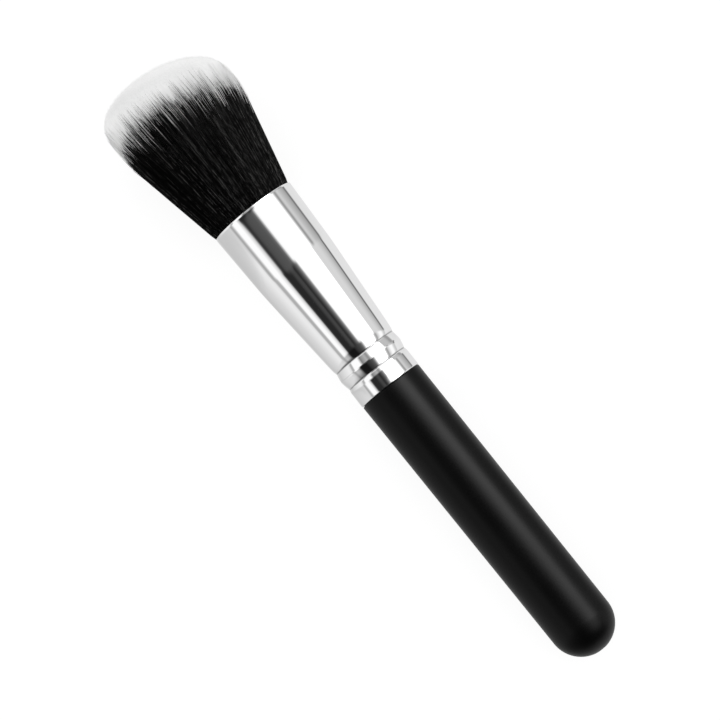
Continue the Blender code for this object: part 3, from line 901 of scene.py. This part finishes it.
def white_colour(tree, low, high, uneven):
    """White that darkens to black towards the root, a painted shade where the fibres run in under
    the black hair, at a height that varies from strand to strand, and by an uneven share from
    place to place round the brush. It is painted brighter towards both sides, a painted light at
    the head's outline, and brightest at the crown."""
    tone = attribute(tree, "tone")
    height = attribute(tree, "height")
    place = object_place(tree)
    streak = grain(tree, place, (50, 1000, 1000), detail=3.0)
    streak = math_node(tree, "SUBTRACT", streak, 0.5)
    shifted = math_node(tree, "ADD", height, product(tree, tone, TONE_LIFT))
    shifted = math_node(tree, "ADD", shifted, product(tree, streak, uneven))
    across = node(tree, "SeparateXYZ", {"Vector": place}).outputs["Y"]
    # Painted light: the white is brighter towards both sides of the head, at its outline
    outer = eased(tree, math_node(tree, "ABSOLUTE", across), *PAINTED_OUTLINE_LIGHT_ENDS)
    at_crown = eased(tree, height, *CROWN_WHITE_ENDS)
    low_white = mixed(tree, tone, grey(0.80), (0.84, 0.84, 0.838, 1))
    low_white = mixed(tree, outer, low_white, (0.94, 0.94, 0.938, 1))
    end_white = mixed(tree, tone, grey(0.95), (0.99, 0.99, 0.985, 1))
    white = mixed(tree, at_crown, low_white, end_white)
    # Painted shade: the white darkens to black towards the root, where the fibres run under the
    # black hair
    return mixed(tree, eased(tree, shifted, low, high), grey(0.004), white)


def white_fibre_material():
    """Soft white fibre that lets a little of the light through."""
    made, tree, shader = new_material("white_tip_fibre")
    colour = white_colour(tree, low=0.64, high=0.80, uneven=0.0)
    wire(tree, shader, {"Base Color": colour, "Roughness": 0.5, "Specular IOR Level": 0.3})
    through = node(tree, "BsdfTranslucent", {"Color": colour}).outputs[0]
    blended = node(tree, "MixShader", {0: 0.1, 1: shader.outputs[0], 2: through}).outputs[0]
    wire(tree, tree.nodes["Material Output"], {"Surface": blended})
    return made


def packed_fibre_material():
    """Body of packed fibres, seen between the strands: grained and flecked along the brush."""
    made, tree, shader = new_material("packed_fibre")
    place = object_place(tree)
    uneven = product(tree, attribute(tree, "uneven"), 0.30)
    white = white_colour(tree, low=0.72, high=0.77, uneven=uneven)
    fleck = grain(tree, place, (250, 2500, 2500), detail=2.0)
    fleck = eased(tree, fleck, 0.35, 0.6, to_low=0.06, to_high=0.0)
    rough = noise(tree, place, scale=3000.0, detail=2.0)
    wire(tree, shader, {
        "Base Color": mixed(tree, fleck, white, grey(0.2)),
        "Normal": bumped(tree, rough, strength=0.15, distance=0.1 * MM),
        "Roughness": 0.8,
        "Specular IOR Level": 0.1,
    })
    return made


def plain_material(name, first, second, scale, roughness):
    """Inner piece: two close colours clouded together."""
    made, tree, shader = new_material(name)
    cloud = noise(tree, object_place(tree), scale, detail=4.0)
    colour = mixed(tree, cloud, (*first, 1), (*second, 1))
    wire(tree, shader, {"Base Color": colour, "Roughness": roughness})
    return made


# Stage

WHITE = grey(1)
TABLE_HALF = 3.0
TABLE_CORNERS = np.array([(-1, -1, 0), (1, -1, 0), (1, 1, 0), (-1, 1, 0)])
TABLE_GREY = 0.80
TABLE_SHADOW_GREY = 0.16
TABLE_GLOW = 0.88


def make_floor():
    """White table. The camera sees most of it as plain white, and the rest takes the shadow."""
    mesh = bpy.data.meshes.new("table")
    mesh.from_pydata((TABLE_HALF * TABLE_CORNERS).tolist(), [], [(0, 1, 2, 3)])
    floor = new_object("table", mesh)
    made = bpy.data.materials.new("white_table")
    made.use_nodes = True
    tree = made.node_tree
    tree.nodes.clear()
    seen = node(tree, "LightPath").outputs["Is Camera Ray"]
    plain = node(tree, "BsdfDiffuse", {"Color": grey(TABLE_GREY)}).outputs[0]
    shadowed = node(tree, "BsdfDiffuse", {"Color": grey(TABLE_SHADOW_GREY)}).outputs[0]
    glow = node(tree, "Emission", {"Color": WHITE, "Strength": TABLE_GLOW}).outputs[0]
    white = node(tree, "AddShader", {0: shadowed, 1: glow}).outputs[0]
    chosen = node(tree, "MixShader", {0: seen, 1: plain, 2: white}).outputs[0]
    node(tree, "OutputMaterial", {"Surface": chosen})
    mesh.materials.append(made)
    floor.visible_glossy = False


def studio_ramp(tree, angle, stops):
    """Brightness round the brush: (angle in degrees, brightness) stops, straight between."""
    share = math_node(tree, "ADD", math_node(tree, "DIVIDE", angle, 360.0), 0.5)
    ramp = node(tree, "ValToRGB", {"Fac": share})
    elements = ramp.color_ramp.elements
    for number, (at, level) in enumerate(stops):
        place = at / 360 + 0.5
        element = elements[number] if number < 2 else elements.new(place)
        element.position = place
        element.color = grey(level)
    return ramp.outputs["Color"]


# Bands of the studio, level with the brush, far along the room, and ahead of or behind the brush
STUDIO_LEVEL = [
    (-180, 0.84), (-148, 0.56), (-110, 0.68), (-84, 0.84), (-76, 0.8),
    (-70.5, 0.42), (-64.5, 0.44), (-59.5, 1.0), (-52, 1.0), (-44.5, 0.73), (-43, 0.6),
    (-39.5, 0.05), (-36, 0.02), (-24, 0.021), (-16, 0.058), (-12, 0.053), (-8, 0.02),
    (-4, 0.048), (0, 0.1), (5, 0.25), (9, 1.0), (62, 1.0), (67, 0.68), (82, 0.68),
    (92, 0.58), (103, 0.42), (107, 0.11), (108.5, 0.11), (112.5, 0.76), (180, 0.78),
]
STUDIO_FAR = [
    (-180, 0.78), (-152, 0.55), (-104, 0.57), (-84, 0.61), (-76, 0.64), (-70.7, 0.36),
    (-67.2, 0.46), (-61.5, 1.0), (-50, 1.0), (-46, 0.83), (-41.5, 0.64), (-37.5, 0.1),
    (-35, 0.035), (-32, 0.035), (-28, 0.06), (-24, 0.074), (-8, 0.09), (-2, 0.13), (1.2, 0.4),
    (5, 1.0), (66.5, 1.0), (70.5, 0.5), (73.5, 0.28), (76, 0.36), (80, 0.6), (83, 0.62),
    (91, 0.51), (104, 0.38), (109.5, 0.18), (111.5, 0.16), (116, 0.74), (180, 0.8),
]
STUDIO_AHEAD = [
    (-180, 0.8), (-140, 0.56), (-110, 0.7), (-80, 0.86), (-72, 0.76), (-67, 0.42),
    (-62, 0.46), (-58, 1.0), (-34, 1.0), (-28, 0.5), (-25, 0.2), (-16, 0.34), (-8, 0.44),
    (0, 0.26), (5, 0.45), (9, 1.0), (58, 1.0), (64, 0.5), (76, 0.52), (84, 0.51), (90, 0.46),
    (97, 0.32), (102, 0.32), (106, 0.4), (111, 0.76), (150, 0.72), (180, 0.8),
]
STUDIO_BEHIND = [
    (-180, 0.8), (-140, 0.55), (-110, 0.68), (-85, 0.72), (-74, 0.64), (-66, 0.36),
    (-58, 0.54), (-48, 0.42), (-44, 0.2), (-40, 0.015), (-34, 0.008), (-18, 0.008),
    (-11, 0.03), (-2, 0.05), (6, 0.09), (11, 0.22), (16, 0.75), (20, 1.0), (53, 1.0),
    (58, 0.5), (66, 0.34), (74, 0.72), (82, 0.98), (90, 0.98), (98, 0.66), (104, 0.56),
    (110, 0.8), (150, 0.74), (180, 0.8),
]

# Where the studio changes, as climbs and angles in degrees: low and high for eased(), and after
# them the values there where these are not 0 and 1
FAR_START = 5.2
FAR_START_DROP = 6.2
GAP_MIDDLE = -19.0
FAR_START_AT_GAP = (5.0, 18.0, -0.7, 0.3)
FAR_START_LEFT = (-73.5, -77.5, -3.0, 3.35)
FAR_SOFTNESS = (50.0, 84.0, 1.0, 0.45)
FAR_SOFTNESS_LEFT = (-84.0, -110.0, 0.0, 1.0)
FAR_START_EDGE = (-1.0, 1.0)
FAR_LIMIT = (46.0, 56.0, 2.85, 9.0)
FAR_LIMIT_EDGE = (0.35, -0.35)
LOW_ANGLES_WIDENED = (-0.5, -3.0, 1.0, 1.012)
HIGH_ANGLES_NARROWED = (2.9, 3.3, 1.0, 0.915)
HIGH_ANGLES_SHIFTED = (2.9, 3.3, 0.0, 2.9)
AHEAD_CLIMBS = (4.5, 7.0)
BEHIND_CLIMBS = (-5.2, -8.0)
BACK_CLIMBS = (-34.0, -52.0)
BACK_ANGLES = (125.0, 90.0)
LEFT_CLIMBS = (-14.0, -28.0, 0.0, 0.75)
LEFT_ANGLES = (0.0, -50.0)
LEFT_END_ANGLES = (-150.0, -95.0)
END_CLIMBS = (24.0, 29.0)
END_TOP_CLIMBS = (36.0, 31.0)
BOX_ANGLES = (8.0, 46.0)
BOX_END_ANGLES = (66.0, 50.0)
BOX_CLIMBS = (26.0, 12.0)
BOX_LOW_CLIMBS = (-72.0, -44.0)

# How bright the studio is there
BOX_GAIN = 5.4
BOX_SLOPE = 0.09
BOX_SLOPE_LEAST = 0.28
BOX_SLOPE_MOST = 2.6
DARK_GREY = 0.01
END_GREY = 0.92
END_BOX_GREY = 0.35
ROOM_LIGHT = 0.95


def eased_both(tree, first, first_ends, second, second_ends):
    """Product of two eases."""
    return product(tree, eased(tree, first, *first_ends), eased(tree, second, *second_ends))


def ray_angle_and_climb(tree):
    """A ray's angle round the brush's axis, from straight up and growing towards -side, and its
    climb, the angle between it and the plane across the axis, in degrees."""
    heading = node(tree, "TexCoord").outputs["Generated"]

    def part_along(vector):
        inputs = {0: heading, 1: tuple(float(value) for value in vector)}
        return node(tree, "VectorMath", inputs, operation="DOT_PRODUCT").outputs["Value"]

    angle = math_node(tree, "ARCTAN2", part_along(-SIDE), part_along(UP))
    climb = math_node(tree, "ARCSINE", part_along(AXIS))
    return product(tree, angle, IN_DEGREES), product(tree, climb, IN_DEGREES)


def far_share(tree, angle, climb):
    """1 where a ray sees the far bands: its climb is past start - drop cos(angle / 2), moved near
    the dark gap and at the left, and short of a limit that is higher at the sides."""
    either_side = math_node(tree, "ABSOLUTE", angle)
    facing = math_node(tree, "COSINE", product(tree, angle, DEG / 2))
    start = math_node(tree, "SUBTRACT", FAR_START, product(tree, facing, FAR_START_DROP))
    from_gap = math_node(tree, "ABSOLUTE", math_node(tree, "SUBTRACT", angle, GAP_MIDDLE))
    start = math_node(tree, "ADD", start, eased(tree, from_gap, *FAR_START_AT_GAP))
    start = math_node(tree, "MAXIMUM", start, eased(tree, angle, *FAR_START_LEFT))
    softness = eased(tree, either_side, *FAR_SOFTNESS)
    softness = math_node(tree, "ADD", softness, eased(tree, angle, *FAR_SOFTNESS_LEFT))
    past_start = math_node(tree, "SUBTRACT", climb, start)
    past_start = math_node(tree, "DIVIDE", past_start, softness)
    past_limit = math_node(tree, "SUBTRACT", climb, eased(tree, either_side, *FAR_LIMIT))
    return eased_both(tree, past_start, FAR_START_EDGE, past_limit, FAR_LIMIT_EDGE)


def banded_colour(tree, angle, climb):
    """The four rows of bands, blended by the climb. The level row is a little wider at a low
    climb, and narrower and shifted at a high one."""
    drawn_in = product(tree, angle, eased(tree, climb, *LOW_ANGLES_WIDENED))
    drawn_in = product(tree, drawn_in, eased(tree, climb, *HIGH_ANGLES_NARROWED))
    shift = eased(tree, climb, *HIGH_ANGLES_SHIFTED)
    drawn_in = math_node(tree, "SUBTRACT", drawn_in, shift)
    level = studio_ramp(tree, drawn_in, STUDIO_LEVEL)
    far = studio_ramp(tree, angle, STUDIO_FAR)
    colour = mixed(tree, far_share(tree, angle, climb), level, far)
    for ends, stops in ((AHEAD_CLIMBS, STUDIO_AHEAD), (BEHIND_CLIMBS, STUDIO_BEHIND)):
        colour = mixed(tree, eased(tree, climb, *ends), colour, studio_ramp(tree, angle, stops))
    return colour


def make_world():
    """White studio. The camera sees plain white, diffuse light is even, and gloss sees soft
    panels, pale walls and the dark gap between them overhead, as bands round the brush's axis.

    Past the bands, the room is dark behind the butt and at its left, and a pale wall stands
    ahead. The box of light at the right adds gain (1 + slope climb), the bracket within limits.
    """
    world = bpy.data.worlds.new("studio")
    bpy.context.scene.world = world
    world.use_nodes = True
    tree = world.node_tree
    tree.nodes.clear()
    angle, climb = ray_angle_and_climb(tree)
    colour = banded_colour(tree, angle, climb)
    either_side = math_node(tree, "ABSOLUTE", angle)
    is_back = eased_both(tree, climb, BACK_CLIMBS, either_side, BACK_ANGLES)
    left = eased_both(tree, angle, LEFT_ANGLES, angle, LEFT_END_ANGLES)
    left = product(tree, left, eased(tree, climb, *LEFT_CLIMBS))
    is_back = math_node(tree, "MAXIMUM", is_back, left)
    colour = mixed(tree, is_back, colour, grey(DARK_GREY))
    is_end = eased_both(tree, climb, END_CLIMBS, climb, END_TOP_CLIMBS)
    in_box = eased_both(tree, angle, BOX_ANGLES, angle, BOX_END_ANGLES)
    end_colour = mixed(tree, in_box, grey(END_GREY), grey(END_BOX_GREY))
    colour = mixed(tree, is_end, colour, end_colour)
    slope = math_node(tree, "ADD", 1.0, product(tree, climb, BOX_SLOPE))
    slope = math_node(tree, "MAXIMUM", slope, BOX_SLOPE_LEAST)
    slope = math_node(tree, "MINIMUM", slope, BOX_SLOPE_MOST)
    near = eased_both(tree, climb, BOX_CLIMBS, climb, BOX_LOW_CLIMBS)
    gain = product(tree, product(tree, product(tree, in_box, BOX_GAIN), slope), near)
    strength = math_node(tree, "ADD", 1.0, gain)
    studio = node(tree, "Background", {"Color": colour, "Strength": strength}).outputs[0]
    plain = node(tree, "Background", {"Color": WHITE, "Strength": ROOM_LIGHT}).outputs[0]
    white = node(tree, "Background", {"Color": WHITE, "Strength": 1.0}).outputs[0]
    path = node(tree, "LightPath").outputs
    shiny = math_node(tree, "MAXIMUM", path["Is Glossy Ray"], path["Is Transmission Ray"])
    lit = node(tree, "MixShader", {0: shiny, 1: plain, 2: studio}).outputs[0]
    seen = node(tree, "MixShader", {0: path["Is Camera Ray"], 1: lit, 2: white}).outputs[0]
    node(tree, "OutputWorld", {"Surface": seen})


LAMP_LEAN = 18 * DEG
LAMP_SIZE = 0.8
LAMP_POWER = 0.9
LAMP_DISTANCE = 0.9


def make_lamp():
    """Large soft lamp over the right of the brush, for the shape of hair and handle."""
    light = bpy.data.lights.new("softbox", "AREA")
    light.shape = "RECTANGLE"
    light.size = LAMP_SIZE
    light.size_y = LAMP_SIZE
    light.energy = LAMP_POWER
    lamp = new_object("softbox", light)
    centre = placed(np.array([[MOUTH, 0.0, 0.0]]))[0]
    towards = -SIDE * math.sin(LAMP_LEAN) + UP * math.cos(LAMP_LEAN)
    lamp.location = Vector(centre + towards * LAMP_DISTANCE)
    lamp.rotation_euler = Vector(towards).to_track_quat("Z", "Y").to_euler()
    lamp.visible_glossy = False


def make_camera():
    """Camera of the photograph: above the brush and a little to the handle's side, so that the
    axis runs from the lower right to the upper left and the head is the further end."""
    forward = math.sin(VIEW_TILT) * AXIS - math.cos(VIEW_TILT) * UP
    ahead = AXIS - (AXIS @ forward) * forward
    ahead /= np.linalg.norm(ahead)
    aside = np.cross(forward, ahead)
    right_part, up_part = HEAD_HEADING
    right = right_part * ahead + up_part * aside
    upward = up_part * ahead - right_part * aside
    target = placed(np.array([[CENTRE_ALONG_PIXELS * PIXEL, 0.0, 0.0]]))[0]
    target = target + CENTRE_ASIDE_PIXELS * PIXEL * aside
    place = target - forward * VIEW_DISTANCE_PIXELS * PIXEL
    camera = new_object("camera", bpy.data.cameras.new("camera"))
    columns = [Vector(right), Vector(upward), Vector(-forward)]
    heading = Matrix([[column[row] for column in columns] for row in range(3)])
    camera.matrix_world = Matrix.Translation(Vector(place)) @ heading.to_4x4()
    camera.data.sensor_width = SENSOR_WIDTH
    camera.data.lens = SENSOR_WIDTH * VIEW_DISTANCE_PIXELS / PHOTO_PIXELS
    camera.data.clip_start = CLIP_START
    camera.data.clip_end = CLIP_END
    bpy.context.scene.camera = camera


def dress(piece, finish, slot, *nodes):
    """Gives a piece its material; the slot is not used. A new piece rides with the CAD nodes it
    replaces.
    """
    piece.data.materials.clear()
    piece.data.materials.append(finish)
    if nodes:
        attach(piece, "root")
        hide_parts(*nodes)


# Two close colours each, of the glue and the thread
AMBER = ((0.50, 0.38, 0.18), (0.66, 0.54, 0.30))
UNDYED = ((0.45, 0.40, 0.32), (0.62, 0.56, 0.46))


def main():
    """Dresses every piece and sets the stage round the brush."""
    dress(make_handle(), lacquer_material(), "handle_lacquer", "handle")
    dress(make_ferrule(), chrome_material(), "ferrule_chrome", "ferrule")
    black = black_hair_material()
    for sheaf in make_black_hair():
        dress(sheaf, black, "black_fibre", "black_hair")
    white = white_fibre_material()
    for sheaf in make_crown_fibres() + make_rim_fibres() + make_streaks() + make_strays():
        dress(sheaf, white, "white_fibre", "white_tip_fibres")
    dress(make_core(), packed_fibre_material(), "white_fibre", "white_tip_fibres")
    glue = plain_material("set_glue", *AMBER, scale=300.0, roughness=0.3)
    thread = plain_material("undyed_thread", *UNDYED, scale=2500.0, roughness=0.8)
    for name in ("tenon_glue_bead", "hair_glue_plug"):
        dress(frame["nodes"][name], glue, "set_glue")
    dress(frame["nodes"]["binding_thread"], thread, "binding_thread")
    make_floor()
    make_world()
    make_lamp()
    make_camera()
    bpy.context.scene.view_settings.view_transform = "Standard"


main()
